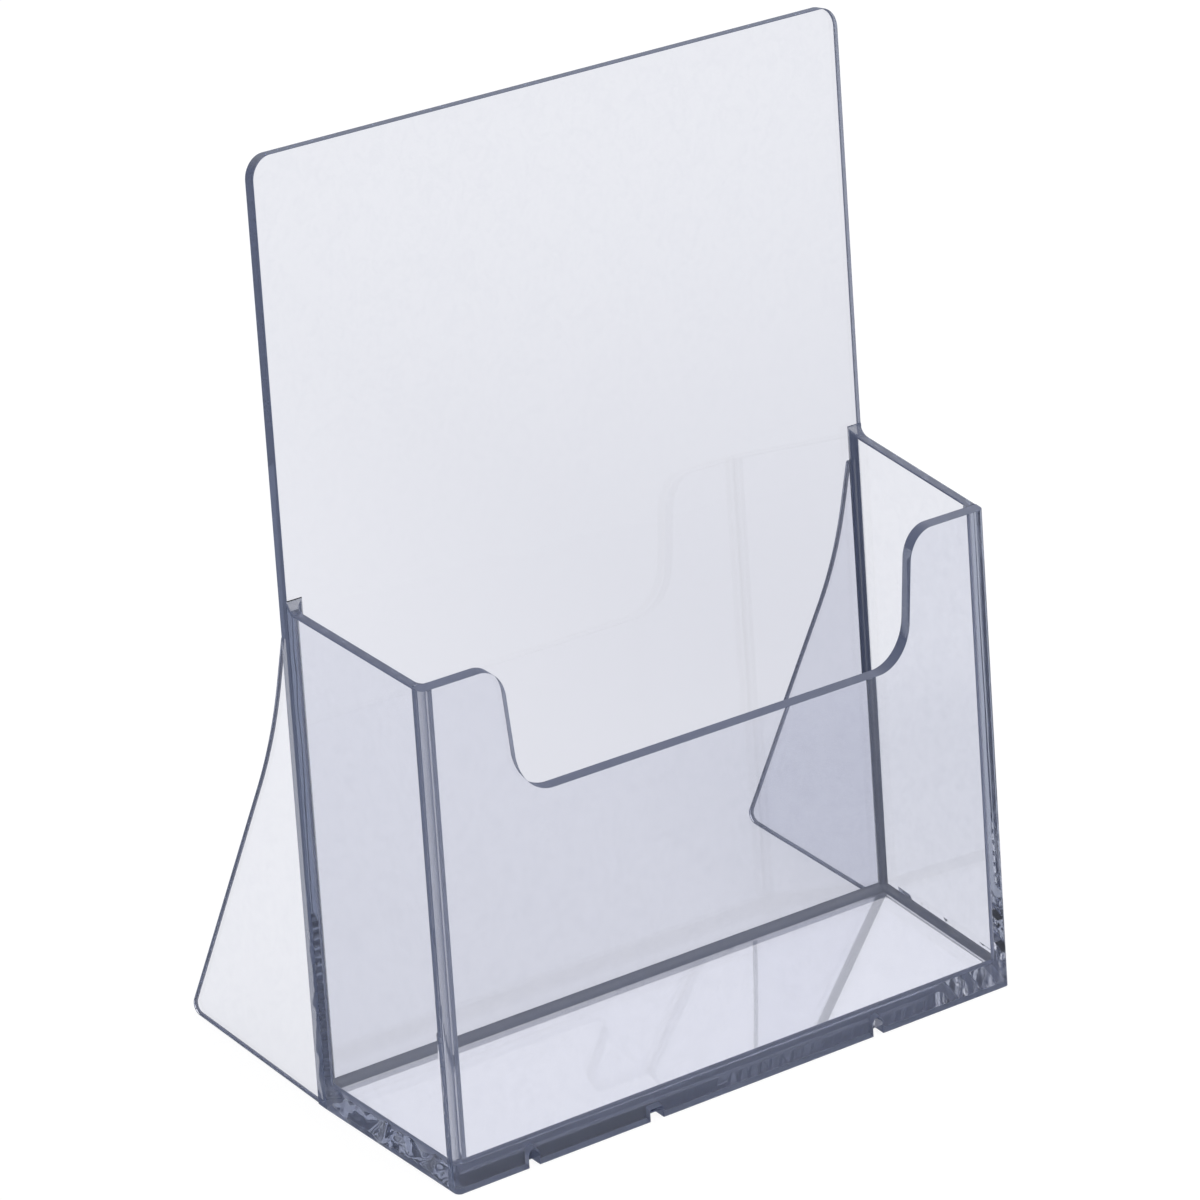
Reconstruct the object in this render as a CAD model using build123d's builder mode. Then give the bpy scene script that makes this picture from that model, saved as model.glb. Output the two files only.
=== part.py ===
from build123d import *
from math import atan2, cos, radians, sin, tan
import os

os.makedirs("parts", exist_ok=True)

# A counter-top holder for A5 magazines and leaflets, in clear moulded styrene.
# Seven flat pieces are welded face to face: a leaning back panel, a pocket of four walls and a floor,
# and two legs behind. X runs across the front, Y to the rear and Z up, and the origin is on the table,
# in the middle of the holder's footprint.

# Driving dimensions, in millimetres and degrees.
overall_width = 165.0
lean_angle = 16.0
wall = 2.5
pocket_clear = 35.5
back_length = 202.0
back_corner_radius = 5.0
rim_height = 103.6
floor_thickness = 4.2
pocket_toe_in = 1.6
front_corner_radius = 1.2
cove_radius = 3.0

scoop_bottom_height = 76.0
scoop_top_width = 130.2
scoop_flank_angle = 6.0
scoop_upper_radius = 7.0
scoop_lower_radius = 10.0

arch_notch_places = (-59.5, 40.6)
arch_notch_width = 3.0
arch_notch_height = 3.8
square_notch_place = -24.7
square_notch_width = 3.8
square_notch_height = 2.5

leg_length = 43.0
leg_height = 97.0
leg_ledge = 1.1
leg_rake = 11.5
leg_neck_lean = 2.0
leg_neck_radius = 110.0
leg_toe_radius = 2.5
leg_top_radius = 0.5
leg_toe_in = 1.0

# Longer than the holder in every direction, for cuts that go right through.
beyond = 250.0

# Sizes that follow from them.
lean = radians(lean_angle)
outer_depth = pocket_clear + 2 * wall
back_face_depth = outer_depth - wall
base_depth = outer_depth / cos(lean)
overall_depth = base_depth + back_length * sin(lean)
front_y = -overall_depth / 2
rear_y = front_y + base_depth
half_width = overall_width / 2

# The pocket's walls are prisms along the lean. On this plane X is the holder's X, and Y is the depth
# behind the front panel's outer face, square to it.
leaning = Plane(origin=(0, front_y, 0), x_dir=(1, 0, 0), z_dir=(0, sin(lean), cos(lean)))
# The rear face of the back panel, facing rearwards. The legs stand on it.
rear_face = Plane(origin=(0, rear_y, 0), x_dir=(1, 0, 0), z_dir=(0, cos(lean), -sin(lean)))


def outer_x(depth):
    """Half the pocket's outer width at a depth behind its front face."""
    return half_width - pocket_toe_in * (1 - depth / back_face_depth)


def inner_x(depth):
    """Half the pocket's inner width at a depth behind its front face."""
    return outer_x(depth) - wall


def back_panel_y(height):
    """Y of the back panel's front face at a height above the table."""
    return rear_y - wall / cos(lean) + height * tan(lean)


def rear_face_y(height):
    """Y of the back panel's rear face at a height above the table."""
    return rear_y + height * tan(lean)


# Back panel: a sheet of full width, cut square at the top with two rounded corners and level at its foot.
with BuildPart() as back_panel:
    with BuildSketch(leaning) as back_section:
        with Locations((0, outer_depth - wall / 2)):
            Rectangle(overall_width, wall)
    extrude(amount=outer_depth * tan(lean) + back_length)
    through_wall = Axis((0, 0, 0), rear_face.z_dir)
    top_corners = back_panel.edges().filter_by(through_wall).group_by(Axis.Z)[-1]
    fillet(top_corners, radius=back_corner_radius)
    split(bisect_by=Plane.XY, keep=Keep.TOP)
back_panel.part.label = "back_panel"
export_step(back_panel.part, "parts/back_panel.step")


# Front panel: a leaning sheet between the table and the level rim, with the thumb scoop in its top and
# three small notches in its foot.
with BuildPart() as front_panel:
    with BuildSketch(leaning) as front_section:
        with BuildLine():
            Polyline(
                (-outer_x(0), 0),
                (outer_x(0), 0),
                (outer_x(wall), wall),
                (-outer_x(wall), wall),
                close=True,
            )
        make_face()
        outer_corners = front_section.vertices().group_by(Axis.Y)[0]
        fillet(outer_corners, radius=front_corner_radius)
    extrude(amount=beyond)
    with BuildSketch(Plane.XZ) as front_outline:
        with Locations((0, rim_height / 2)):
            Rectangle(beyond, rim_height)
    extrude(amount=beyond, both=True, mode=Mode.INTERSECT)

    scoop_depth = rim_height - scoop_bottom_height
    scoop_corner_x = scoop_top_width / 2 - scoop_upper_radius * (
        tan(radians(90 - scoop_flank_angle) / 2)
    )
    scoop_foot_x = scoop_corner_x - scoop_depth * tan(radians(scoop_flank_angle))
    with BuildSketch(Plane.XZ) as scoop:
        with BuildLine():
            Polyline(
                (-scoop_corner_x, rim_height),
                (-scoop_foot_x, scoop_bottom_height),
                (scoop_foot_x, scoop_bottom_height),
                (scoop_corner_x, rim_height),
                close=True,
            )
        make_face()
        fillet(scoop.vertices().group_by(Axis.Y)[0], radius=scoop_lower_radius)
    extrude(amount=beyond, both=True, mode=Mode.SUBTRACT)
    rim_edges = front_panel.edges().filter_by(Axis.Y).group_by(Axis.Z)[-1]
    fillet(rim_edges, radius=scoop_upper_radius)

    with BuildSketch(Plane.XZ) as arch_notches:
        arch_straight = arch_notch_height - arch_notch_width / 2
        with Locations([(x, arch_straight / 2) for x in arch_notch_places]):
            Rectangle(arch_notch_width, arch_straight)
        with Locations([(x, arch_straight) for x in arch_notch_places]):
            Circle(arch_notch_width / 2)
    extrude(amount=beyond, both=True, mode=Mode.SUBTRACT)
    with BuildSketch(Plane.XZ) as square_notch:
        with Locations((square_notch_place, square_notch_height / 2)):
            Rectangle(square_notch_width, square_notch_height)
    extrude(amount=beyond, both=True, mode=Mode.SUBTRACT)
front_panel.part.label = "front_panel"
export_step(front_panel.part, "parts/front_panel.step")


# Right side wall: level on top, with a cove that sweeps up to the back panel.
with BuildPart() as right_side_wall:
    with BuildSketch(leaning) as side_section:
        with BuildLine():
            Polyline(
                (outer_x(wall), wall),
                (outer_x(back_face_depth), back_face_depth),
                (inner_x(back_face_depth), back_face_depth),
                (inner_x(wall), wall),
                close=True,
            )
        make_face()
    extrude(amount=beyond)
    cove_tangent = cove_radius / tan(radians(90 + lean_angle) / 2)
    cove_top = rim_height + cove_tangent * cos(lean)
    with BuildSketch(Plane.YZ) as side_outline:
        with BuildLine():
            rim_line = Line((front_y, rim_height), (back_panel_y(rim_height) - cove_tangent, rim_height))
            cove = TangentArc(rim_line @ 1, (back_panel_y(cove_top), cove_top), tangent=rim_line % 1)
            Polyline(cove @ 1, (back_panel_y(0), 0), (front_y, 0), rim_line @ 0)
        make_face()
    extrude(amount=beyond, both=True, mode=Mode.INTERSECT)
right_side_wall.part.label = "right_side_wall"
export_step(right_side_wall.part, "parts/right_side_wall.step")

with BuildPart() as left_side_wall:
    mirror(right_side_wall.part, about=Plane.YZ)
left_side_wall.part.label = "left_side_wall"
export_step(left_side_wall.part, "parts/left_side_wall.step")


# Pocket floor: a thicker plate that fills the pocket's foot from wall to wall.
with BuildPart() as pocket_floor:
    with BuildSketch(leaning) as floor_section:
        with BuildLine():
            Polyline(
                (-inner_x(wall), wall),
                (inner_x(wall), wall),
                (inner_x(back_face_depth), back_face_depth),
                (-inner_x(back_face_depth), back_face_depth),
                close=True,
            )
        make_face()
    extrude(amount=beyond)
    with BuildSketch(Plane.XY) as floor_plan:
        Rectangle(beyond, beyond)
    extrude(amount=floor_thickness, mode=Mode.INTERSECT)
pocket_floor.part.label = "pocket_floor"
export_step(pocket_floor.part, "parts/pocket_floor.step")


# Right rear leg: a fin with a straight raked rear edge that bends into an almost upright neck, a blunt
# top and a rounded toe. It is cut to the slope of the back panel's rear face.
toe_in = atan2(leg_toe_in, leg_length)
leg_plane = Plane(
    origin=(half_width, rear_y, 0),
    x_dir=(-sin(toe_in), cos(toe_in), 0),
    z_dir=(cos(toe_in), sin(toe_in), 0),
)
ledge_reach = rear_face_y(leg_height) - rear_y + leg_ledge
rake_slope = tan(radians(leg_rake))
neck_slope = tan(radians(leg_neck_lean))
knee_height = (leg_length - ledge_reach + leg_height * neck_slope) / (rake_slope + neck_slope)
knee_reach = leg_length - knee_height * rake_slope
with BuildPart() as right_rear_leg:
    with BuildSketch(leg_plane) as leg_outline:
        with BuildLine():
            Polyline(
                (-wall, 0),
                (leg_length, 0),
                (knee_reach, knee_height),
                (ledge_reach, leg_height),
                (-wall, leg_height),
                close=True,
            )
        make_face()
    extrude(amount=-wall)
    split(bisect_by=rear_face, keep=Keep.TOP)
    across = right_rear_leg.edges().filter_by(Axis((0, 0, 0), leg_plane.z_dir))
    toe_edge = across.sort_by(Axis.Y)[-1]
    knee_edge = across.sort_by_distance((half_width, rear_y + knee_reach, knee_height))[0]
    top_edge = across.sort_by_distance((half_width, rear_y + ledge_reach, leg_height))[0]
    fillet(toe_edge, radius=leg_toe_radius)
    fillet(knee_edge, radius=leg_neck_radius)
    fillet(top_edge, radius=leg_top_radius)
right_rear_leg.part.label = "right_rear_leg"
export_step(right_rear_leg.part, "parts/right_rear_leg.step")

with BuildPart() as left_rear_leg:
    mirror(right_rear_leg.part, about=Plane.YZ)
left_rear_leg.part.label = "left_rear_leg"
export_step(left_rear_leg.part, "parts/left_rear_leg.step")
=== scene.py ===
"""A clear counter-top rack for A5 magazines and leaflets, on a pale table in soft studio light.

The rack is one clear moulding. It is built here as its seven walls: a leaning back panel, the pocket's
front panel, two side walls and floor, and two legs behind. Walls meet face to face, and where they meet
the plastic is whole: those faces carry the mark "bonded", and light passes them without bending.
"""

import logging
from collections.abc import Callable, Iterable, Sequence
from dataclasses import dataclass
from enum import Enum
from math import acos, ceil, cos, pi, radians, sin, sqrt, tan

import bmesh
import bpy
from mathutils import Matrix, Vector


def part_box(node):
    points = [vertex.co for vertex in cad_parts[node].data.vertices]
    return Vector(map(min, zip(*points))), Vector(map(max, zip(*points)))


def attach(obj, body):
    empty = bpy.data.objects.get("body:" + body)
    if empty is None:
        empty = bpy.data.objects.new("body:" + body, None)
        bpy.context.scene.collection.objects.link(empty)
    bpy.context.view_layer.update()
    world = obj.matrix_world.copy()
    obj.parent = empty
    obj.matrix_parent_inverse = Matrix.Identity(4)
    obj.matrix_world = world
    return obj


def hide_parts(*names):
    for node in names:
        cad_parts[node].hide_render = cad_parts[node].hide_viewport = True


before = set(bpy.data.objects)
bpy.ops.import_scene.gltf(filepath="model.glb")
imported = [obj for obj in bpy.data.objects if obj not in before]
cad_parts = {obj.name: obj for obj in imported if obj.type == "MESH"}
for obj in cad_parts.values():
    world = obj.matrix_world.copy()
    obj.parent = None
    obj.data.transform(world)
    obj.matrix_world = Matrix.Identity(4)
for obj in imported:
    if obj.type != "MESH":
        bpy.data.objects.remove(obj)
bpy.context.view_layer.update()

log = logging.getLogger("rack")

MM = 0.001

# Points nearer than this are one point.
TOUCHING = 1e-7
# A corner that turns less than this is straight.
STRAIGHT = radians(0.1)
# Edges between faces that turn more than this are sharp.
SHARP = radians(25)

# Cosines between a face's normal and a direction. Above BROAD the face looks that way, below SQUARE it
# stands square to it, and above MOSTLY it looks more that way than not.
BROAD = 0.985
SQUARE = 0.1
MOSTLY = 0.5

# What the low part of the room adds to reflections. The table is as dim there, so no line shows.
DIM_ROOM = (0.56, 0.59, 0.66)

Point = tuple[float, float]
Colour = tuple[float, float, float]


class Side(Enum):
    """Which side of the rack a paired wall stands on, as the sign of its X."""

    LEFT = -1
    RIGHT = 1


class Mark(Enum):
    """What a wall's faces carry for the finish to read, by the attribute's name."""

    BONDED = "bonded"
    # How much painted shade a face gets, in the finish's dark colour.
    JOINT = "joint"
    # How much a wall darkens towards its foot: partly the plastic's tint, partly painted shade.
    SHADE = "shade"
    GLOSS = "gloss"
    WAVY = "wavy"


@dataclass(frozen=True)
class PaintedShadeLevels:
    """How much painted shade each kind of face gets, from 0 for clear to 1."""

    # The colour is painted shade: clear plastic looks dark along its joints, roundings and cut edges by the
    # way light bends there.
    clear: float = 0.0
    bonded: float = 0.04
    rounding: float = 1.0
    cut_edge: float = 0.72
    fin_cut_edge: float = 0.15
    front_foot: float = 0.42
    front_corner: float = 0.0
    fillet_painted_light: float = 0.55


PAINTED_SHADE_LEVELS = PaintedShadeLevels()


# ---------------------------------------------------------------------------------------------------
# Node trees written as expressions


class Wire:
    """An output socket. Arithmetic on it adds Math nodes to its tree."""

    def __init__(self, board: "Board", socket: bpy.types.NodeSocket | None) -> None:
        """Keeps the socket and the board that it is on.

        Args:
            board: The tree's board, which adds the nodes.
            socket: The output socket that this wire starts from.
        """
        self.board = board
        self.socket = socket

    def maths(self, operation: str, *others: "Wire | float") -> "Wire":
        """Returns the result of a Math node on this value and others."""
        return self.board.add("ShaderNodeMath", {"operation": operation}, [self, *others])

    def __add__(self, other: "Wire | float") -> "Wire":
        """Adds a value."""
        return self.maths("ADD", other)

    __radd__ = __add__

    def __mul__(self, other: "Wire | float") -> "Wire":
        """Multiplies by a value."""
        return self.maths("MULTIPLY", other)

    __rmul__ = __mul__

    def __sub__(self, other: "Wire | float") -> "Wire":
        """Takes a value off this one."""
        return self.maths("SUBTRACT", other)

    def __rsub__(self, other: float) -> "Wire":
        """Takes this value off a number."""
        return self.board.add("ShaderNodeMath", {"operation": "SUBTRACT"}, [other, self])

    def __truediv__(self, other: "Wire | float") -> "Wire":
        """Divides by a value."""
        return self.maths("DIVIDE", other)

    def __rtruediv__(self, other: float) -> "Wire":
        """Divides a number by this value."""
        return self.board.add("ShaderNodeMath", {"operation": "DIVIDE"}, [other, self])

    def ramp(self, low: float, high: float, start: float = 0.0, end: float = 1.0) -> "Wire":
        """Returns start below low and end above high, with a smooth step between them."""
        settings = {"interpolation_type": "SMOOTHSTEP"}
        return self.board.add("ShaderNodeMapRange", settings, [self, low, high, start, end])


class Board:
    """A node tree, and the one way that nodes are added to it."""

    def __init__(self, tree: bpy.types.NodeTree) -> None:
        """Keeps the tree.

        Args:
            tree: The shader or geometry tree to add nodes to.
        """
        self.tree = tree

    def add(
        self,
        kind: str,
        settings: dict[str, object] | None = None,
        inputs: dict[str | int, object] | Sequence[object] = (),
        output: str | int = 0,
        choices: int = 0,
    ) -> Wire:
        """Adds a node and returns one of its outputs.

        Args:
            kind: The node's type, such as ShaderNodeMath.
            settings: Properties of the node, set before its sockets.
            inputs: Values or wires for its input sockets, by name or number, or in their order. A socket
                that takes many wires gets a list of them.
            output: The output to return, by name or number.
            choices: How many values an index switch picks from.

        Returns:
            The output as a wire.
        """
        node = self.tree.nodes.new(kind)
        for name, value in (settings or {}).items():
            setattr(node, name, value)
        while choices and len(node.index_switch_items) < choices:
            node.index_switch_items.new()
        pairs = inputs.items() if isinstance(inputs, dict) else enumerate(inputs)
        for name, value in pairs:
            wires = value if isinstance(value, list) else [value]
            for wire in wires:
                if isinstance(wire, Wire):
                    self.tree.links.new(wire.socket, node.inputs[name])
                else:
                    node.inputs[name].default_value = wire
        return Wire(self, node.outputs[output] if len(node.outputs) else None)

    def mark(self, mark: Mark) -> Wire:
        """Reads a mark that the faces carry."""
        return self.add("ShaderNodeAttribute", {"attribute_name": mark.value}, output="Fac")

    def axis(self, vector: Wire, number: int) -> Wire:
        """Returns one coordinate of a vector, from 0 for X to 2 for Z."""
        return self.add("ShaderNodeSeparateXYZ", None, [vector], output=number)

    def vector(self, x: Wire | float, y: Wire | float, z: Wire | float = 0.0) -> Wire:
        """Returns a vector made of three coordinates."""
        return self.add("ShaderNodeCombineXYZ", None, [x, y, z])

    def noise(self, place: Wire, size: float, detail: float, distortion: float = 0.0) -> Wire:
        """Returns a soft noise at a place, about a half."""
        inputs = {"Vector": place, "Scale": size, "Detail": detail, "Distortion": distortion}
        return self.add("ShaderNodeTexNoise", {"noise_dimensions": "3D"}, inputs)

    def blend(self, amount: Wire, one: Wire | Colour, two: Wire | Colour, kind: str = "MIX") -> Wire:
        """Blends two colours.

        Args:
            amount: How much of the second there is, from 0 to 1.
            one: The first colour.
            two: The second colour.
            kind: The way that they blend.

        Returns:
            The blended colour.
        """
        first, second = (c if isinstance(c, Wire) else (*c, 1) for c in (one, two))
        settings = {"data_type": "RGBA", "blend_type": kind}
        return self.add("ShaderNodeMix", settings, {0: amount, 6: first, 7: second}, output=2)


# ---------------------------------------------------------------------------------------------------
# Finishes


def blank_material(label: str) -> bpy.types.Material:
    """Makes a material with no nodes.

    Args:
        label: Its name.

    Returns:
        The material.
    """
    made = bpy.data.materials.new(label)
    made.use_nodes = True
    made.node_tree.nodes.clear()
    return made


@dataclass(frozen=True)
class ClearStyrene:
    """Clear moulded styrene, with painted shade along its joints, roundings and cut edges.

    The tint is a little uneven, as moulded sheet is, and darker low on the shaded walls, partly by the
    plastic's tint and partly by painted shade. The faces have a slow ripple, and the wavy ones have deeper
    waves near the foot, which catch the light.
    """

    label: str = "clear styrene"
    ior: float = 1.59
    roughness: float = 0.0
    absorbed: Colour = (5.5, 5.0, 3.7)
    absorbed_scale: float = 1.25
    pale: Colour = (0.918, 0.922, 0.958)
    clouded: Colour = (0.893, 0.898, 0.938)
    cloud_size: float = 240.0
    cloud_detail: float = 3.0
    cloud_distortion: float = 1.6
    cloud_range: Point = (0.42, 0.68)
    # Darker colour towards the foot: partly the plastic's tint, partly painted shade.
    smoky_and_shaded: Colour = (0.79, 0.795, 0.85)
    smoke_and_shade_heights: Point = (55 * MM, 200 * MM)
    # Painted shade: dark blue-grey standing for the dark that clear plastic shows along joints, roundings
    # and cut edges.
    edge_painted_shade: Colour = (0.060, 0.077, 0.140)
    joint_painted_shade: Colour = (0.25, 0.285, 0.42)
    painted_shade_roughness: float = 0.3
    painted_shade_cover: float = 0.92
    ripple_size: float = 55.0
    ripple_depth: float = 0.02 * MM
    wave_size: float = 210.0
    wave_distortion: float = 0.6
    wave_depth: float = 2.2 * MM
    wave_heights: Point = (14 * MM, 48 * MM)
    floor_gloss: float = 3.2

    def tint(self, board: Board, place: Wire, height: Wire) -> Wire:
        """Adds the plastic's colour, darker towards the foot of the shaded walls: partly its tint, partly
        painted shade.

        Args:
            board: The material's board.
            place: The place on the rack.
            height: Its height.

        Returns:
            The colour.
        """
        cloud = board.noise(place, self.cloud_size, self.cloud_detail, self.cloud_distortion)
        body = board.blend(cloud.ramp(*self.cloud_range), self.pale, self.clouded)
        # Painted shade with some real tint: darker towards the foot where a wall is marked shade.
        smoke_and_shade = height.ramp(*self.smoke_and_shade_heights, 1.0, 0.0) * board.mark(Mark.SHADE)
        return board.blend(smoke_and_shade, body, self.smoky_and_shaded)

    def relief(self, board: Board, place: Wire, height: Wire) -> Wire:
        """Adds the ripple, and the waves near the foot.

        Args:
            board: The material's board.
            place: The place on the rack.
            height: Its height.

        Returns:
            The normal.
        """
        ripple = board.noise(place, self.ripple_size, 1.0)
        wave = board.noise(place, self.wave_size, 0.0, self.wave_distortion)
        depth = board.mark(Mark.WAVY) * height.ramp(*self.wave_heights, self.wave_depth, 0.0)
        raised = ripple * self.ripple_depth + wave * depth
        return board.add("ShaderNodeBump", None, {"Height": raised, "Distance": 1.0, "Strength": 1.0})

    def material(self) -> bpy.types.Material:
        """Makes the finish.

        Returns:
            The finish as a material.
        """
        made = blank_material(self.label)
        board = Board(made.node_tree)
        place = board.add("ShaderNodeTexCoord", output="Object")
        height = board.axis(place, 2)
        relief = self.relief(board, place, height)
        clear = board.add(
            "ShaderNodeBsdfPrincipled",
            None,
            {
                "Base Color": self.tint(board, place, height),
                "Roughness": self.roughness,
                "IOR": self.ior,
                "Transmission Weight": 1.0,
                "Normal": relief,
                "Coat Weight": board.mark(Mark.GLOSS),
                "Coat IOR": self.floor_gloss,
                "Coat Roughness": 0.0,
            },
        )
        bonded = board.mark(Mark.BONDED)
        joined = board.add("ShaderNodeBsdfTransparent")
        whole = board.add("ShaderNodeMixShader", None, [bonded, clear, joined])

        # Painted shade over the clear surface, lighter where it is bonded or seen from inside the plastic.
        from_behind = board.add("ShaderNodeNewGeometry", output="Backfacing")
        within = bonded.maths("MAXIMUM", from_behind)
        painted_shade = board.add(
            "ShaderNodeBsdfPrincipled",
            None,
            {
                "Base Color": board.blend(within, self.edge_painted_shade, self.joint_painted_shade),
                "Roughness": self.painted_shade_roughness,
                "IOR": self.ior,
                "Normal": relief,
            },
        )
        cover = board.mark(Mark.JOINT) * self.painted_shade_cover
        surface = board.add("ShaderNodeMixShader", None, [cover, whole, painted_shade])

        density = max(self.absorbed) * self.absorbed_scale
        kept = tuple(1 - a / density for a in self.absorbed)
        inside = board.add("ShaderNodeVolumeAbsorption", None, {"Color": (*kept, 1), "Density": density})
        board.add("ShaderNodeOutputMaterial", None, {"Surface": surface, "Volume": inside})
        return made


@dataclass(frozen=True)
class PaleTable:
    """A matt white table top, lit so evenly that it hardly shades.

    Seen through the rack it has a painted shadow: it is a little darker on the far side and close beside
    the rack. The pairs of numbers are the places across or rearwards between which that painted shadow
    starts or ends.
    """

    label: str = "pale table"
    colour: Colour = (0.12, 0.12, 0.12)
    glow: Colour = (0.9, 0.9, 0.9)
    mirrored: Colour = (0.44, 0.47, 0.54)
    painted_shadow: Colour = (0.82, 0.825, 0.845)
    far_start: Point = (0.03, 0.16)
    beside_start: Point = (0.04, 0.12)
    beside_end: Point = (0.15, 0.22)
    behind_end: Point = (0.04, 0.08)
    painted_shadow_depth: float = 0.5
    grain_size: float = 9.0
    grain_detail: float = 2.0
    grain_range: Point = (0.3, 0.7)
    roughness: Point = (0.85, 0.95)

    def shadow(self, board: Board, place: Wire) -> Wire:
        """Adds the painted shadow that the rack casts on the table.

        Args:
            board: The material's board.
            place: The place on the table.

        Returns:
            How dark it is, from 0 to 1.
        """
        across = board.axis(place, 0)
        rearwards = board.axis(place, 1)
        far = across.ramp(*self.far_start, 0.0, self.painted_shadow_depth)
        beside = across.ramp(*self.beside_start, 0.0, self.painted_shadow_depth)
        beside = beside * across.ramp(*self.beside_end, 1.0, 0.0)
        return far + beside * rearwards.ramp(*self.behind_end, 1.0, 0.0)

    def material(self) -> bpy.types.Material:
        """Makes the finish.

        Returns:
            The finish as a material.
        """
        made = blank_material(self.label)
        board = Board(made.node_tree)
        place = board.add("ShaderNodeTexCoord", output="Object")
        grain = board.noise(place, self.grain_size, self.grain_detail)
        turned = board.add("ShaderNodeLightPath", output="Glossy Depth").maths("MINIMUM", 1.0)
        seen = board.add("ShaderNodeLightPath", output="Is Camera Ray")
        even = board.blend(turned, self.glow, self.mirrored)
        # Painted shadow, for every ray but the camera's.
        glow = board.blend(self.shadow(board, place) * (1 - seen), even, self.painted_shadow, "MULTIPLY")
        matt = board.add(
            "ShaderNodeBsdfPrincipled",
            None,
            {
                "Base Color": (*self.colour, 1),
                "Roughness": grain.ramp(*self.grain_range, *self.roughness),
                "Specular IOR Level": 0.0,
                "Emission Color": glow,
                "Emission Strength": 1.0,
            },
        )
        board.add("ShaderNodeOutputMaterial", None, {"Surface": matt})
        return made


# ---------------------------------------------------------------------------------------------------
# Shapes


def rounded(corners: Iterable[tuple[float, float, float]], step: float = radians(4)) -> list[Point]:
    """Rounds the corners of a closed outline.

    Args:
        corners: Each corner's two coordinates and the radius that it gets, in order round the outline.
        step: The largest turn between two points of an arc, in radians.

    Returns:
        The outline's points in order.
    """
    listed = list(corners)
    points: list[Point] = []
    for i, (x, y, radius) in enumerate(listed):
        here = Vector((x, y))
        to_last = (Vector(listed[i - 1][:2]) - here).normalized()
        to_next = (Vector(listed[(i + 1) % len(listed)][:2]) - here).normalized()
        inside = acos(max(-1.0, min(1.0, to_last.dot(to_next))))
        turn = pi - inside
        if radius <= 0 or turn < STRAIGHT:
            points.append((x, y))
            continue
        middle = here + (to_last + to_next).normalized() * (radius / sin(inside / 2))
        first = here + to_last * (radius / tan(inside / 2)) - middle
        sign = 1 if to_last.cross(to_next) < 0 else -1
        count = max(2, ceil(turn / step))
        for k in range(count + 1):
            angle = sign * turn * k / count
            points.append(
                (
                    middle.x + first.x * cos(angle) - first.y * sin(angle),
                    middle.y + first.x * sin(angle) + first.y * cos(angle),
                )
            )
    return points


def hollow(reach: float, radius: float) -> float:
    """Height of a hollow fillet at a distance from the wall that it climbs.

    Args:
        reach: Distance from the wall.
        radius: The fillet's radius.

    Returns:
        How far the fillet stands above the face that it lies on.
    """
    left = max(0.0, min(radius, radius - reach))
    return radius - sqrt(radius**2 - left**2)


@dataclass(frozen=True)
class Layout:
    """The rack's common sizes, in metres and radians.

    Across is X. Depth is measured behind the front panel's outer face, square to the leaning panels.
    """

    front: float
    rim: float
    floor: float
    half_width: float
    top: float
    leg_top: float
    lean: float = radians(16)
    wall: float = 2.5 * MM
    clear: float = 35.5 * MM
    toe_in: float = 1.6 * MM
    fillet: float = 1.7 * MM
    edge: float = 0.32 * MM
    seam: float = 0.02 * MM

    @classmethod
    def of_frame(cls) -> "Layout":
        """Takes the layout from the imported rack.

        Returns:
            The layout.
        """
        _, back_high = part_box("back_panel")
        front_low, front_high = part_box("front_panel")
        _, floor_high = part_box("pocket_floor")
        _, leg_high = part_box("right_rear_leg")
        return cls(front_low.y, front_high.z, floor_high.z, back_high.x, back_high.z, leg_high.z)

    @property
    def back_face(self) -> float:
        """Depth of the back panel's front face."""
        return self.wall + self.clear

    @property
    def rear_face(self) -> float:
        """Depth of the back panel's rear face."""
        return self.back_face + self.wall

    @property
    def square(self) -> Vector:
        """The way that the leaning panels' broad faces look."""
        return Vector((0, cos(self.lean), -sin(self.lean)))

    @property
    def bond_height(self) -> float:
        """Height up to which the pocket's floor and its fillet are joined to the walls."""
        return self.floor + self.fillet

    def place(self, across: float, depth: float, height: float) -> Vector:
        """Returns the point at a place across, a depth and a height."""
        return Vector((across, self.front + depth / cos(self.lean) + height * tan(self.lean), height))

    def depth_at(self, y: float, z: float) -> float:
        """Returns the depth of a point of the side elevation."""
        return (y - self.front - z * tan(self.lean)) * cos(self.lean)

    def outer(self, depth: float) -> float:
        """Returns half the pocket's outer width at a depth."""
        return self.half_width - self.toe_in * (1 - depth / self.back_face)

    def inner(self, depth: float) -> float:
        """Returns half the pocket's inner width at a depth, between the side walls' flat faces."""
        return self.outer(depth) - self.wall


@dataclass
class Wall:
    """What every wall of the rack has: the common sizes, the finish, and how its faces are marked.

    Each question about a face takes the face's middle and its normal.
    """

    layout: Layout
    finish: bpy.types.Material

    def bonded(self, middle: Vector, normal: Vector) -> bool:
        """Says whether another wall is joined to a face."""
        return False

    def painted_shade(self, middle: Vector, normal: Vector) -> float | None:
        """Says how much painted shade a face gets, from 0 to 1, or None where that is as usual."""
        return None

    def glossy(self, middle: Vector, normal: Vector) -> bool:
        """Says whether a face is glossier than the rest."""
        return False

    def wavy(self, middle: Vector, normal: Vector) -> bool:
        """Says whether a face's moulding is wavy near the foot."""
        return False


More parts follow.
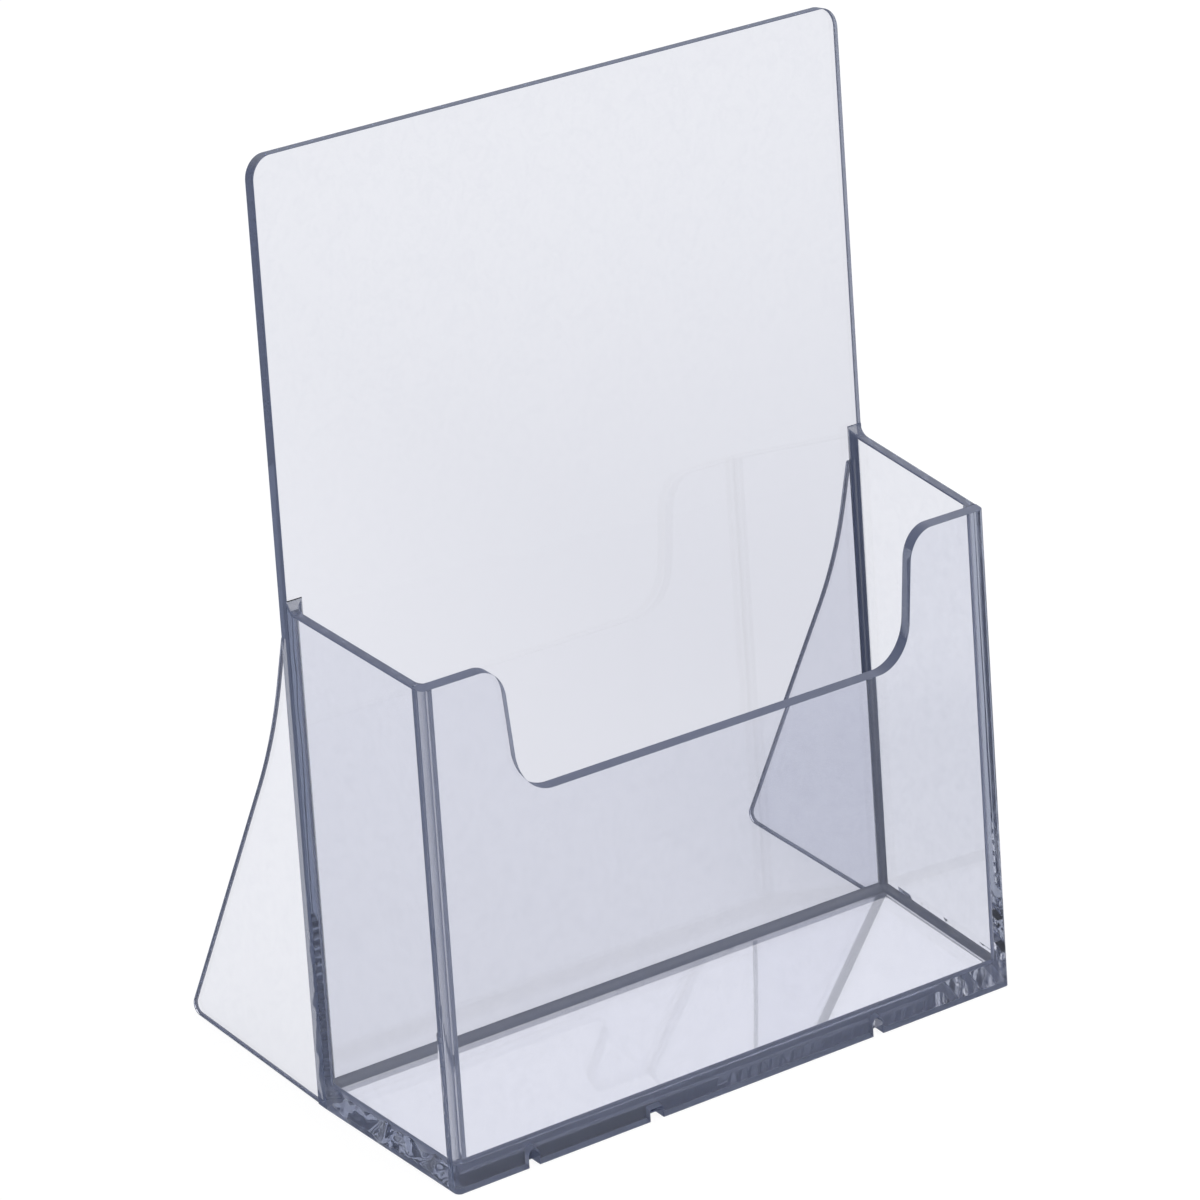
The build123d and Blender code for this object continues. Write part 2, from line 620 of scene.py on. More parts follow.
class Shell:
    """A closed mesh in the making."""

    def __init__(self) -> None:
        """Starts with no faces."""
        self.mesh = bmesh.new()

    def ring(self, points: Iterable[Vector]) -> list[bmesh.types.BMVert]:
        """Adds vertices and returns them."""
        return [self.mesh.verts.new(p) for p in points]

    def cap(self, ring: Sequence[bmesh.types.BMVert]) -> None:
        """Closes a ring with one face."""
        self.mesh.faces.new(ring)

    def bridge(self, one: Sequence[bmesh.types.BMVert], two: Sequence[bmesh.types.BMVert]) -> None:
        """Joins two closed rings with a band of faces.

        Args:
            one: The first ring.
            two: The second ring, as long as the first.
        """
        for i in range(len(one)):
            j = (i + 1) % len(one)
            self.mesh.faces.new((one[i], one[j], two[j], two[i]))

    def bridge_all(self, rings: Sequence[Sequence[bmesh.types.BMVert]]) -> None:
        """Joins each ring to the next."""
        for one, two in zip(rings, rings[1:]):
            self.bridge(one, two)

    def prism(self, one: Iterable[Vector], two: Iterable[Vector]) -> None:
        """Makes a closed prism.

        Args:
            one: The outline at one end.
            two: The outline at the other end, as long as the first.
        """
        first, second = self.ring(one), self.ring(two)
        self.bridge(first, second)
        self.cap(first[::-1])
        self.cap(second)

    def take(self, source: bpy.types.Mesh) -> None:
        """Adds a finished mesh."""
        self.mesh.from_mesh(source)

    def score_level(self, height: float) -> None:
        """Scores every face at a height."""
        self.score(Vector((0, 0, height)), Vector((0, 0, 1)))

    def score_upright(self, across: float) -> None:
        """Scores every face at a place across, on both sides."""
        for side in Side:
            self.score(Vector((side.value * across, 0, 0)), Vector((1, 0, 0)))

    def score(self, point: Vector, normal: Vector) -> None:
        """Scores every face where a plane crosses it."""
        parts = [*self.mesh.verts, *self.mesh.edges, *self.mesh.faces]
        bmesh.ops.bisect_plane(self.mesh, geom=parts, dist=TOUCHING, plane_co=point, plane_no=normal)

    def ease(self, radius: float, wanted: Callable[[Vector], bool], segments: int = 4) -> None:
        """Rounds the sharp edges that are wanted.

        Args:
            radius: The rounding's radius.
            wanted: Says of an edge's middle whether that edge is rounded.
            segments: How many strips the rounding has.
        """
        self.mesh.normal_update()
        sharp = [
            e
            for e in self.mesh.edges
            if len(e.link_faces) == 2
            and e.calc_face_angle() > SHARP
            and wanted((e.verts[0].co + e.verts[1].co) / 2)
        ]
        bmesh.ops.bevel(
            self.mesh,
            geom=sharp,
            offset=radius,
            offset_type="OFFSET",
            segments=segments,
            profile=0.5,
            affect="EDGES",
            clamp_overlap=True,
        )

    @staticmethod
    def usual_painted_shade(bonded: bool, facing: float) -> float:
        """Says how much painted shade a face gets when its wall has nothing to say about it.

        Args:
            bonded: Whether another wall is joined to it.
            facing: Cosine between its normal and the way that the wall's broad faces look.

        Returns:
            How much painted shade it gets, from 0 to 1.
        """
        if bonded:
            return PAINTED_SHADE_LEVELS.bonded
        if facing < SQUARE:
            return PAINTED_SHADE_LEVELS.cut_edge
        return PAINTED_SHADE_LEVELS.rounding if facing < BROAD else PAINTED_SHADE_LEVELS.clear

    def finish(self, name: str, wall: Wall, broad: Vector, shade: float = 0.0) -> bpy.types.Object:
        """Marks the faces and makes the object.

        Args:
            name: The object's name.
            wall: The wall that this is the mesh of, which has the finish and knows its faces.
            broad: The way that the wall's broad faces look. Its other faces are edges and fillets.
            shade: How much the wall darkens towards its foot, from 0 to 1, partly by its tint and partly by
                painted shade.

        Returns:
            The finished object, at the origin.
        """
        bmesh.ops.remove_doubles(self.mesh, verts=self.mesh.verts, dist=TOUCHING)
        bmesh.ops.recalc_face_normals(self.mesh, faces=self.mesh.faces)
        self.mesh.normal_update()
        layers = self.mesh.faces.layers.float
        for mark in Mark:
            layers.new(mark.value)
        for face in self.mesh.faces:
            middle, normal = face.calc_center_median(), face.normal
            bonded = wall.bonded(middle, normal)
            painted_shade = wall.painted_shade(middle, normal)
            if painted_shade is None:
                painted_shade = self.usual_painted_shade(bonded, abs(normal.dot(broad)))
            face[layers[Mark.BONDED.value]] = float(bonded)
            face[layers[Mark.JOINT.value]] = painted_shade
            face[layers[Mark.SHADE.value]] = shade
            face[layers[Mark.GLOSS.value]] = float(wall.glossy(middle, normal))
            face[layers[Mark.WAVY.value]] = float(wall.wavy(middle, normal))
        data = bpy.data.meshes.new(name)
        self.mesh.to_mesh(data)
        self.mesh.free()
        made = bpy.data.objects.new(name, data)
        bpy.context.scene.collection.objects.link(made)
        made.data.materials.append(wall.finish)
        return made


# ---------------------------------------------------------------------------------------------------
# The rack


@dataclass
class BackPanel(Wall):
    """The tall leaning sheet that the magazines rest against."""

    corner_radius: float = 5.0 * MM
    rim_cove: float = 3.0 * MM
    # How much it darkens towards the foot: partly tint, partly painted shade.
    shade: float = 1.0

    @property
    def cove_top(self) -> float:
        """Height at which the side wall's cove reaches this panel."""
        tangent = self.rim_cove / tan(radians(90) / 2 + self.layout.lean / 2)
        return self.layout.rim + tangent * cos(self.layout.lean)

    @property
    def wall_edge(self) -> float:
        """Place across where the side wall's fillet starts."""
        return self.layout.inner(self.layout.back_face) - self.layout.fillet

    @property
    def leg_edge(self) -> float:
        """Place across where the leg's inner face is."""
        return self.layout.half_width - self.layout.wall

    def outline(self, depth: float) -> list[Vector]:
        """Draws one face's outline, level at the foot and square to the sheet at the top.

        Args:
            depth: The face's depth.

        Returns:
            The outline's points.
        """
        plan = self.layout
        rise = (plan.top + plan.back_face * sin(plan.lean)) / cos(plan.lean)
        foot = depth * tan(plan.lean)
        width = plan.half_width
        corners = [
            (-width, foot, 0),
            (width, foot, 0),
            (width, rise, self.corner_radius),
            (-width, rise, self.corner_radius),
        ]
        return [
            plan.place(x, depth, s * cos(plan.lean) - depth * sin(plan.lean)) for x, s in rounded(corners)
        ]

    def eased(self, middle: Vector) -> bool:
        """Says whether an edge is rounded.

        Args:
            middle: The edge's middle.

        Returns:
            True where the pocket and the legs leave the edge free.
        """
        depth = self.layout.depth_at(middle.y, middle.z)
        at_front = depth < self.layout.back_face + self.layout.wall / 2
        return middle.z > (self.cove_top if at_front else self.layout.leg_top)

    def bonded(self, middle: Vector, normal: Vector) -> bool:
        """Says whether the pocket or a leg is joined to a face.

        Args:
            middle: The face's middle.
            normal: Its normal.

        Returns:
            True where it is.
        """
        if abs(normal.x) > SQUARE or abs(normal.z) > MOSTLY:
            return False
        if normal.y < 0:
            by_wall = abs(middle.x) > self.wall_edge and middle.z < self.cove_top
            return by_wall or middle.z < self.layout.bond_height
        return abs(middle.x) > self.leg_edge and middle.z < self.layout.leg_top

    def wavy(self, middle: Vector, normal: Vector) -> bool:
        """Says whether a face is one of the long edges."""
        return abs(normal.x) > BROAD

    def build(self) -> bpy.types.Object:
        """Builds the panel.

        Returns:
            The finished object.
        """
        plan = self.layout
        shell = Shell()
        shell.prism(self.outline(plan.back_face), self.outline(plan.rear_face))
        for height in (plan.bond_height, self.cove_top, plan.leg_top):
            shell.score_level(height)
        for across in (self.wall_edge, self.leg_edge):
            shell.score_upright(across)
        shell.ease(plan.edge, self.eased)
        return shell.finish("back_sheet", self, plan.square, self.shade)


@dataclass
class FrontPanel(Wall):
    """The pocket's low front, with the thumb scoop in its rim and three notches in its foot.

    The corner turn is the range of a normal's X within the rounded upright corners.
    """

    corner_radius: float = 1.2 * MM
    corner_segments: int = 8
    corner_turn: Point = (0.15, 0.97)
    corner_facing: float = 0.99
    rearward: float = 0.8
    scoop_bottom: float = 76.0 * MM
    scoop_top_width: float = 130.2 * MM
    scoop_flank: float = radians(6)
    scoop_upper_radius: float = 7.0 * MM
    scoop_lower_radius: float = 10.0 * MM
    arch_places: tuple[float, ...] = (-59.5 * MM, 40.6 * MM)
    arch_width: float = 3.0 * MM
    arch_height: float = 3.8 * MM
    arch_share: float = 0.499
    square_place: float = -24.7 * MM
    square_width: float = 3.8 * MM
    square_height: float = 2.5 * MM

    @property
    def wall_edge(self) -> float:
        """Place across where the side wall's fillet starts."""
        return self.layout.inner(self.layout.wall) - self.layout.fillet

    def notches(self) -> list[tuple[float, float, float, float]]:
        """Lists the notches in the foot.

        Returns:
            Each notch's place, width, height and corner radius, from left to right.
        """
        radius = self.arch_width * self.arch_share
        arches = [(x, self.arch_width, self.arch_height, radius) for x in self.arch_places]
        square = (self.square_place, self.square_width, self.square_height, self.layout.edge)
        return sorted([*arches, square])

    def outline(self) -> list[Point]:
        """Draws the panel's outline at the front face.

        Returns:
            The outline's points, across and up.
        """
        plan = self.layout
        width = plan.outer(0)
        corner = self.scoop_top_width / 2 - self.scoop_upper_radius * tan((pi / 2 - self.scoop_flank) / 2)
        foot = corner - (plan.rim - self.scoop_bottom) * tan(self.scoop_flank)
        corners = [(-width, 0.0, 0.0)]
        for middle, wide, high, radius in self.notches():
            left, right = middle - wide / 2, middle + wide / 2
            corners += [(left, 0, 0), (left, high, radius), (right, high, radius), (right, 0, 0)]
        corners += [
            (width, 0, 0),
            (width, plan.rim, 0),
            (corner, plan.rim, self.scoop_upper_radius),
            (foot, self.scoop_bottom, self.scoop_lower_radius),
            (-foot, self.scoop_bottom, self.scoop_lower_radius),
            (-corner, plan.rim, self.scoop_upper_radius),
            (-width, plan.rim, 0),
        ]
        return rounded(corners)

    def face(self, depth: float) -> list[Vector]:
        """Returns the outline at a depth, where the pocket's toe-in makes it wider."""
        wider = self.layout.outer(depth) / self.layout.outer(0)
        return [self.layout.place(x * wider, depth, z) for x, z in self.outline()]

    def at_front(self, middle: Vector) -> bool:
        """Says whether an edge is in the front face."""
        return self.layout.depth_at(middle.y, middle.z) < self.layout.wall / 10

    def upright_corner(self, middle: Vector) -> bool:
        """Says whether an edge is one of the two upright ones in front.

        Args:
            middle: The edge's middle.

        Returns:
            True where it is.
        """
        plan = self.layout
        outermost = abs(middle.x) > plan.outer(0) - plan.edge
        return self.at_front(middle) and outermost and 0 < middle.z < plan.rim

    def eased(self, middle: Vector) -> bool:
        """Says whether an edge is rounded.

        Args:
            middle: The edge's middle.

        Returns:
            True where the side walls and the floor leave the edge free.
        """
        plan = self.layout
        if middle.z < plan.bond_height:
            return self.at_front(middle) and abs(middle.x) < plan.outer(0) - plan.edge
        if plan.depth_at(middle.y, middle.z) > plan.wall * 9 / 10:
            return abs(middle.x) < self.wall_edge
        return True

    def bonded(self, middle: Vector, normal: Vector) -> bool:
        """Says whether a side wall or the floor is joined to a face.

        Args:
            middle: The face's middle.
            normal: Its normal.

        Returns:
            True where one is.
        """
        if normal.y < self.rearward:
            return False
        return abs(middle.x) > self.wall_edge or middle.z < self.layout.bond_height

    def painted_shade(self, middle: Vector, normal: Vector) -> float | None:
        """Says how much painted shade the rear of the foot and the rounded corners get.

        Args:
            middle: The face's middle.
            normal: Its normal.

        Returns:
            How much painted shade the face gets, or None where that is as usual.
        """
        plan = self.layout
        # Painted shade on the rear of the foot, where it meets the floor; the rounded corners are left
        # clear.
        if self.bonded(middle, normal) and middle.z < plan.bond_height:
            return PAINTED_SHADE_LEVELS.front_foot
        low, high = self.corner_turn
        outermost = abs(middle.x) > plan.outer(0) - self.corner_radius
        turned = low < abs(normal.x) < high and abs(normal.z) < MOSTLY
        if outermost and turned and abs(normal.dot(plan.square)) < self.corner_facing:
            return PAINTED_SHADE_LEVELS.front_corner
        return None

    def wavy(self, middle: Vector, normal: Vector) -> bool:
        """Says whether a face is one of the outer edges."""
        return abs(normal.x) > BROAD and abs(middle.x) > self.wall_edge

    def build(self) -> bpy.types.Object:
        """Builds the panel.

        Returns:
            The finished object.
        """
        plan = self.layout
        shell = Shell()
        shell.prism(self.face(0), self.face(plan.wall))
        shell.score_level(plan.bond_height)
        shell.score_upright(self.wall_edge)
        shell.ease(self.corner_radius, self.upright_corner, self.corner_segments)
        shell.ease(plan.edge, self.eased)
        return shell.finish("front_sheet", self, plan.square)


@dataclass
class SideWall(Wall):
    """One end of the pocket, level on top, with fillets to the panels and a cove up the back panel.

    The painted light strip is the range of a normal's inward part within which the front fillet gets
    less painted shade, a paler strip that stands for light refracted through it.
    """

    side: Side
    rim_cove: float = 3.0 * MM
    steps: int = 7
    painted_light_strip: Point = (0.55, 0.82)

    def cove(self) -> list[Point]:
        """Draws the cove from the rim to the back panel.

        Returns:
            Its depths and heights.
        """
        plan = self.layout
        tangent = self.rim_cove / tan(radians(90) / 2 + plan.lean / 2)
        start = plan.place(0, plan.back_face, plan.rim).y - tangent
        turn = pi / 2 - plan.lean
        points = []
        for k in range(self.steps + 1):
            angle = turn * k / self.steps
            y = start + self.rim_cove * sin(angle)
            z = plan.rim + self.rim_cove * (1 - cos(angle))
            points.append((plan.depth_at(y, z), z))
        return points

    def top(self, depth: float) -> float:
        """Finds the wall's height.

        Args:
            depth: The depth to find it at.

        Returns:
            The height.
        """
        points = self.cove()
        for (d0, z0), (d1, z1) in zip(points, points[1:]):
            if d0 <= depth <= d1:
                return z0 + (z1 - z0) * (depth - d0) / (d1 - d0)
        return points[0][1] if depth < points[0][0] else points[-1][1]

    def stations(self) -> list[float]:
        """Chooses the depths at which the wall's section is set.

        Returns:
            The depths from front to rear.
        """
        plan = self.layout
        start, end = plan.wall + plan.seam, plan.back_face - plan.seam
        curve = [plan.fillet * (1 - cos(pi / 2 * k / self.steps)) for k in range(self.steps + 1)]
        found = {start + c for c in curve} | {end - c for c in curve}
        found |= {d for d, _ in self.cove() if d < end - plan.seam}
        return sorted(found)

    def section(self, depth: float) -> list[Vector]:
        """Draws the wall's section.

        Args:
            depth: The section's depth.

        Returns:
            Its points, from the outer foot up, over and down.
        """
        plan = self.layout
        sign = self.side.value
        near = min(depth - plan.wall, plan.back_face - depth) - plan.seam
        outer = plan.outer(depth)
        inner = plan.inner(depth) - hollow(near, plan.fillet)
        top = self.top(depth)
        step = plan.bond_height
        corners = [(outer, 0), (outer, step), (outer, top), (inner, top), (inner, step), (inner, 0)]
        return [plan.place(sign * x, depth, z) for x, z in corners]

    def eased(self, middle: Vector) -> bool:
        """Says whether an edge is rounded.

        Args:
            middle: The edge's middle.

        Returns:
            True along the top, between the ends.
        """
        plan = self.layout
        start, end = plan.wall + 2 * plan.seam, plan.back_face - 2 * plan.seam
        return middle.z > plan.rim - plan.edge and start < plan.depth_at(middle.y, middle.z) < end

    def bonded(self, middle: Vector, normal: Vector) -> bool:
        """Says whether a panel or the floor is joined to a face.

        Args:
            middle: The face's middle.
            normal: Its normal.

        Returns:
            True where one is.
        """
        plan = self.layout
        depth = plan.depth_at(middle.y, middle.z)
        at_end = min(depth - plan.wall, plan.back_face - depth) < plan.seam * 1.2
        inward = normal.x * self.side.value < -SQUARE / 10
        return at_end or (inward and middle.z < plan.bond_height)

    def painted_shade(self, middle: Vector, normal: Vector) -> float | None:
        """Says how much painted shade the front fillet's paler strip gets: less, as painted light.

        Args:
            middle: The face's middle.
            normal: Its normal.

        Returns:
            How slate the face is, or None where that is as usual.
        """
        low, high = self.painted_light_strip
        inward = -normal.x * self.side.value
        in_strip = low < inward < high and abs(normal.z) < MOSTLY and normal.y > 0
        return PAINTED_SHADE_LEVELS.fillet_painted_light if in_strip and not self.bonded(middle, normal) else None

    def wavy(self, middle: Vector, normal: Vector) -> bool:
        """Says whether a face is in the outer foot."""
        return normal.x * self.side.value > BROAD and middle.z < self.layout.bond_height

    def build(self) -> bpy.types.Object:
        """Builds the wall.

        Returns:
            The finished object.
        """
        shell = Shell()
        rings = [shell.ring(self.section(d)) for d in self.stations()]
        shell.bridge_all(rings)
        shell.cap(rings[0])
        shell.cap(rings[-1][::-1])
        shell.ease(self.layout.edge, self.eased)
        return shell.finish(f"{self.side.name.lower()}_end_wall", self, Vector((1, 0, 0)))


@dataclass
class PocketFloor(Wall):
    """The thick plate that the magazines stand on, with a fillet up all four walls."""

    steps: int = 6
    corner_step: float = radians(15)
    # How much it darkens towards the foot: partly tint, partly painted shade.
    shade: float = 0.65

    def ring(self, inset: float, height: float) -> list[Vector]:
        """Draws the plate's outline, drawn in from the walls.

        Args:
            inset: How far it is drawn in.
            height: Its height.

        Returns:
            The outline's points.
        """
        plan = self.layout
        reach = inset + plan.seam
        front, rear = plan.wall + reach, plan.back_face - reach
        radius = max(plan.fillet - inset, plan.seam)
        corners = [
            (-(plan.inner(front) - reach), front, radius),
            (plan.inner(front) - reach, front, radius),
            (plan.inner(rear) - reach, rear, radius),
            (-(plan.inner(rear) - reach), rear, radius),
        ]
        return [plan.place(x, depth, height) for x, depth in rounded(corners, self.corner_step)]

    def bonded(self, middle: Vector, normal: Vector) -> bool:
        """Says whether a face is part of the rim, which is joined to the walls."""
        return abs(normal.z) < MOSTLY and 0 < middle.z < self.layout.floor

    def glossy(self, middle: Vector, normal: Vector) -> bool:
        """Says whether a face looks up."""
        return normal.z > BROAD

    def build(self) -> bpy.types.Object:
        """Builds the plate.

        Returns:
            The finished object.
        """
        plan = self.layout
        shell = Shell()
        rings = [shell.ring(self.ring(0, 0))]
        for k in range(self.steps + 1):
            reach = plan.fillet * (1 - cos(pi / 2 * k / self.steps))
            rings.append(shell.ring(self.ring(reach, plan.floor + hollow(reach, plan.fillet))))
        shell.bridge_all(rings)
        shell.cap(rings[0][::-1])
        shell.cap(rings[-1])
        return shell.finish("foot_plate", self, Vector((0, 0, 1)), self.shade)


@dataclass
class RearLeg(Wall):
    """One fin behind the back panel: a raked rear edge that bends into an upright neck."""

    side: Side
    length: float = 43.0 * MM
    ledge: float = 1.1 * MM
    rake: float = radians(11.5)
    neck_lean: float = radians(2)
    neck_radius: float = 110.0 * MM
    toe_radius: float = 2.5 * MM
    top_radius: float = 0.5 * MM
    toe_in: float = 1.0 * MM
    edge: float = 0.55 * MM
    arc_points: int = 24
    # How much it darkens towards the foot: partly tint, partly painted shade.
    shade: float = 0.2

    def sizes(self) -> dict[str, object]:
        """Lists the inputs of the geometry nodes.

        Returns:
            Each input's value by its name.
        """
        plan = self.layout
        return {
            "Length": self.length,
            "Height": plan.leg_top,
            "Ledge": self.ledge,
            "Rake slope": tan(self.rake),
            "Neck slope": tan(self.neck_lean),
            "Lean slope": tan(plan.lean),
            "Seam": plan.seam / cos(plan.lean),
            "Thickness": plan.wall,
            "Toe radius": self.toe_radius,
            "Neck radius": self.neck_radius,
            "Top radius": self.top_radius,
            "Side": float(self.side.value),
            "Outer face": plan.half_width,
            "Root": plan.place(0, plan.rear_face, 0).y,
            "Toe in slope": self.toe_in / self.length,
            "Arc points": self.arc_points,
            "Finish": self.finish,
        }

    @staticmethod
    def outline(board: Board, size: dict[str, Wire]) -> Wire:
        """Adds the fin's outline, lying in X and Y, with its corners rounded.

        Args:
            board: The tree's board.
            size: The tree's inputs by name.

        Returns:
            The outline as a curve.
        """
        at_top = size["Height"] * size["Lean slope"]
        ledge = at_top + size["Ledge"]
        slopes = size["Rake slope"] + size["Neck slope"]
        knee = (size["Length"] - ledge + size["Height"] * size["Neck slope"]) / slopes
        corners = [
            board.vector(size["Seam"], 0.0),
            board.vector(size["Length"], 0.0),
            board.vector(size["Length"] - knee * size["Rake slope"], knee),
            board.vector(ledge, size["Height"]),
            board.vector(at_top + size["Seam"], size["Height"]),
        ]
        radii = [0.0, size["Toe radius"], size["Neck radius"], size["Top radius"], 0.0]
        index = board.add("GeometryNodeInputIndex")
        switch = "GeometryNodeIndexSwitch"
        count = len(corners)
        corner = board.add(switch, {"data_type": "VECTOR"}, [index, *corners], choices=count)
        radius = board.add(switch, {"data_type": "FLOAT"}, [index, *radii], choices=count)
        points = board.add("GeometryNodePoints", None, {"Count": count, "Position": corner})
        curve = board.add("GeometryNodePointsToCurves", None, {"Points": points})
        closed = board.add("GeometryNodeSetSplineCyclic", None, {"Geometry": curve, "Cyclic": True})
        return board.add(
            "GeometryNodeFilletCurve",
            {"mode": "POLY"},
            {"Curve": closed, "Radius": radius, "Count": size["Arc points"], "Limit Radius": True},
        )

    @staticmethod
    def thickened(board: Board, flat: Wire, thickness: Wire) -> Wire:
        """Adds a closed plate with a flat face as its underside.

        Args:
            board: The tree's board.
            flat: The flat mesh.
            thickness: The plate's thickness.

        Returns:
            The plate.
        """
        upwards = board.vector(0.0, 0.0, 1.0)
        lifted = board.add(
            "GeometryNodeExtrudeMesh",
            {"mode": "FACES"},
            {"Mesh": flat, "Offset": upwards, "Offset Scale": thickness, "Individual": False},
        )
        under = board.add("GeometryNodeFlipFaces", None, {"Mesh": flat})
        both = board.add("GeometryNodeJoinGeometry", None, {0: [lifted, under]})
        return board.add("GeometryNodeMergeByDistance", None, {"Geometry": both, "Distance": TOUCHING})

    def tree(self) -> bpy.types.NodeTree:
        """Builds the geometry nodes that draw the fin from its sizes and stand it in its place.

        Returns:
            The tree, with a named input for each size.
        """
        kinds = {float: "NodeSocketFloat", int: "NodeSocketInt"}
        tree = bpy.data.node_groups.new("Raked fin", "GeometryNodeTree")
        for name, value in self.sizes().items():
            kind = kinds.get(type(value), "NodeSocketMaterial")
            tree.interface.new_socket(name, in_out="INPUT", socket_type=kind)
        tree.interface.new_socket("Geometry", in_out="OUTPUT", socket_type="NodeSocketGeometry")
        board = Board(tree)
        entry = board.add("NodeGroupInput").socket.node
        size = {s.name: Wire(board, s) for s in entry.outputs if s.name}

        curve = self.outline(board, size)
        flat = board.add("GeometryNodeFillCurve", {"mode": "NGONS"}, {"Curve": curve})
        plate = self.thickened(board, flat, size["Thickness"])
        spot = board.add("GeometryNodeInputPosition")
        along, up, inward = (board.axis(spot, number) for number in range(3))
        across = size["Side"] * (size["Outer face"] - inward - along * size["Toe in slope"])
        stood = board.vector(across, size["Root"] + along, up)
        placed = board.add("GeometryNodeSetPosition", None, {"Geometry": plate, "Position": stood})
        real = board.add("GeometryNodeRealizeInstances", None, [placed])
        dressed = board.add("GeometryNodeSetMaterial", None, {"Geometry": real, "Material": size["Finish"]})
        board.add("NodeGroupOutput", None, [dressed])
        return tree

    def drawn(self) -> bpy.types.Mesh:
        """Runs the geometry nodes.

        Returns:
            The fin as they make it.
        """
        name = f"{self.side.name.lower()}_fin_outline"
        blank = bpy.data.objects.new(name, bpy.data.meshes.new(name))
        bpy.context.scene.collection.objects.link(blank)
        nodes = blank.modifiers.new("Fin", "NODES")
        nodes.node_group = self.tree()
        values = self.sizes()
        for item in nodes.node_group.interface.items_tree:
            if item.in_out == "INPUT":
                nodes[item.identifier] = values[item.name]
        seen = blank.evaluated_get(bpy.context.evaluated_depsgraph_get())
        mesh = bpy.data.meshes.new_from_object(seen)
        blank.modifiers.clear()
        bpy.data.objects.remove(blank)
        return mesh

    def at_root(self, middle: Vector) -> bool:
        """Says whether an edge or a face is at the back panel."""
        return self.layout.depth_at(middle.y, middle.z) < self.layout.rear_face + 3 * self.layout.seam

    def eased(self, middle: Vector) -> bool:
        """Says whether an edge is rounded, which all are but those at the root."""
        return not self.at_root(middle)

    def bonded(self, middle: Vector, normal: Vector) -> bool:
        """Says whether the back panel is joined to a face."""
        return self.at_root(middle) and 0 < middle.z < self.layout.leg_top

    def painted_shade(self, middle: Vector, normal: Vector) -> float | None:
        """Says how much painted shade the edges that are cut square get, or None for the other faces."""
        square_cut = abs(normal.x) < SQUARE and not self.bonded(middle, normal)
        return PAINTED_SHADE_LEVELS.fin_cut_edge if square_cut else None

    def build(self) -> bpy.types.Object:
        """Builds the leg.

        Returns:
            The finished object.
        """
        shell = Shell()
        shell.take(self.drawn())
        shell.ease(self.edge, self.eased)
        return shell.finish(f"{self.side.name.lower()}_fin", self, Vector((1, 0, 0)), self.shade)


@dataclass
class Rack:
    """The whole rack."""

    layout: Layout
    finish: ClearStyrene

    def build(self) -> None:
        """Builds every wall and puts it on the frame."""
        material = self.finish.material()
        parts = [
            (BackPanel(self.layout, material), "back_panel"),
            (FrontPanel(self.layout, material), "front_panel"),
            (SideWall(self.layout, material, Side.LEFT), "left_side_wall"),
            (SideWall(self.layout, material, Side.RIGHT), "right_side_wall"),
            (PocketFloor(self.layout, material), "pocket_floor"),
            (RearLeg(self.layout, material, Side.LEFT), "left_rear_leg"),
            (RearLeg(self.layout, material, Side.RIGHT), "right_rear_leg"),
        ]
        for part, node in parts:
            piece = part.build()
            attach(piece, "root")
            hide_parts(node)
            log.info("%s stands for %s: %d faces", piece.name, node, len(piece.data.polygons))


# ---------------------------------------------------------------------------------------------------
# The studio


@dataclass(frozen=True)
class Viewpoint:
    """Where the camera stands: angles in degrees, lengths in metres and the lens in millimetres."""

    azimuth: float = -46.15
    elevation: float = 27.57
    roll: float = 7.98
    distance: float = 1.6705
    aside: float = 34.18 * MM
    below: float = -106.4 * MM
    lens: float = 237.3
    sensor: float = 36.0
    shift: Point = (0.0161, -0.0139)
    clip: Point = (0.1, 50)

    def matrix(self, aim: Vector) -> Matrix:
        """Finds the camera's place.

        Args:
            aim: The point that the angles and offsets are measured from.

        Returns:
            The camera's matrix.
        """
        a, e, r = radians(self.azimuth), radians(self.elevation), radians(self.roll)
        back = Vector((sin(a) * cos(e), -cos(a) * cos(e), sin(e)))
        right = Vector((cos(a), sin(a), 0))
        up = back.cross(right)
        rolled_right = right * cos(r) + up * sin(r)
        rolled_up = up * cos(r) - right * sin(r)
        spot = aim + back * self.distance - rolled_right * self.aside - rolled_up * self.below
        turned = Matrix((rolled_right, rolled_up, back)).transposed()
        return Matrix.Translation(spot) @ turned.to_4x4()


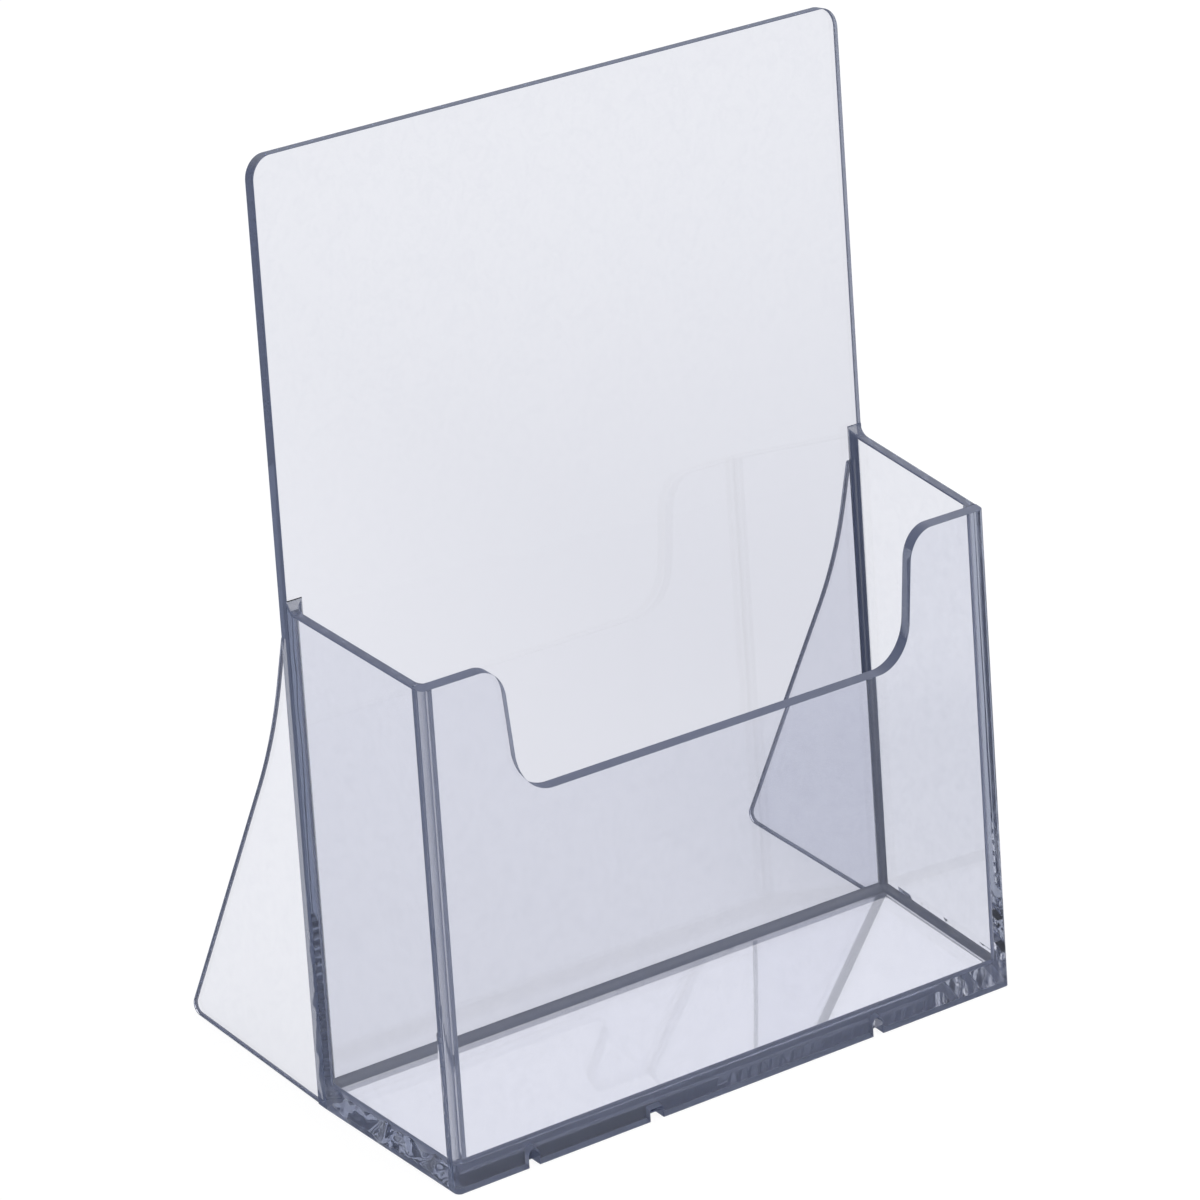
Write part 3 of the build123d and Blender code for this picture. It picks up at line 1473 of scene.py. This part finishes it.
@dataclass
class Studio:
    """The table, the soft light and the camera."""

    layout: Layout
    table: PaleTable
    view: Viewpoint
    table_radius: float = 1.6
    table_gap: float = 0.15 * MM
    table_segments: int = 96
    lit_above: Point = (0.12, 0.42)
    overhead: Colour = (1.25, 1.25, 1.27)
    backdrop: Colour = (1, 1, 1)
    bounces: int = 64

    def lay_table(self) -> None:
        """Lays the table top just under the rack's foot."""
        mesh = bmesh.new()
        bmesh.ops.create_circle(mesh, cap_ends=True, segments=self.table_segments, radius=self.table_radius)
        bmesh.ops.translate(mesh, verts=mesh.verts, vec=(0, 0, -self.table_gap))
        data = bpy.data.meshes.new("table_top")
        mesh.to_mesh(data)
        mesh.free()
        made = bpy.data.objects.new("table_top", data)
        bpy.context.scene.collection.objects.link(made)
        made.data.materials.append(self.table.material())

    def light(self) -> None:
        """Makes the room: bright overhead, dim near the horizon, and a white backdrop behind it all."""
        world = bpy.data.worlds.new("soft studio")
        bpy.context.scene.world = world
        world.use_nodes = True
        world.node_tree.nodes.clear()
        board = Board(world.node_tree)
        towards = board.add("ShaderNodeTexCoord", output="Generated")
        room = board.blend(board.axis(towards, 2).ramp(*self.lit_above), DIM_ROOM, self.overhead)
        seen = board.add("ShaderNodeLightPath", output="Is Camera Ray")
        shown = board.blend(seen, room, self.backdrop)
        sky = board.add("ShaderNodeBackground", None, {"Color": shown, "Strength": 1.0})
        board.add("ShaderNodeOutputWorld", None, {"Surface": sky})

    def set_camera(self) -> None:
        """Sets a long lens up to the left and above, rolled a little."""
        data = bpy.data.cameras.new("camera")
        camera = bpy.data.objects.new("camera", data)
        bpy.context.scene.collection.objects.link(camera)
        data.sensor_width = self.view.sensor
        data.lens = self.view.lens
        data.shift_x, data.shift_y = self.view.shift
        data.clip_start, data.clip_end = self.view.clip
        camera.matrix_world = self.view.matrix(Vector((0, self.layout.front, 0)))
        bpy.context.scene.camera = camera

    def set_paths(self) -> None:
        """Lets light run on inside the clear walls, and keeps whites white."""
        scene = bpy.context.scene
        scene.view_settings.view_transform = "Standard"
        scene.cycles.max_bounces = self.bounces
        scene.cycles.transmission_bounces = self.bounces
        scene.cycles.glossy_bounces = self.bounces
        scene.cycles.transparent_max_bounces = self.bounces

    def build(self) -> None:
        """Builds the studio."""
        self.lay_table()
        self.light()
        self.set_camera()
        self.set_paths()


def main() -> None:
    """Builds the rack and its studio."""
    logging.basicConfig(level=logging.INFO, format="%(name)s: %(message)s")
    layout = Layout.of_frame()
    Rack(layout, ClearStyrene()).build()
    Studio(layout, PaleTable(), Viewpoint()).build()


if __name__ == "__main__":
    main()
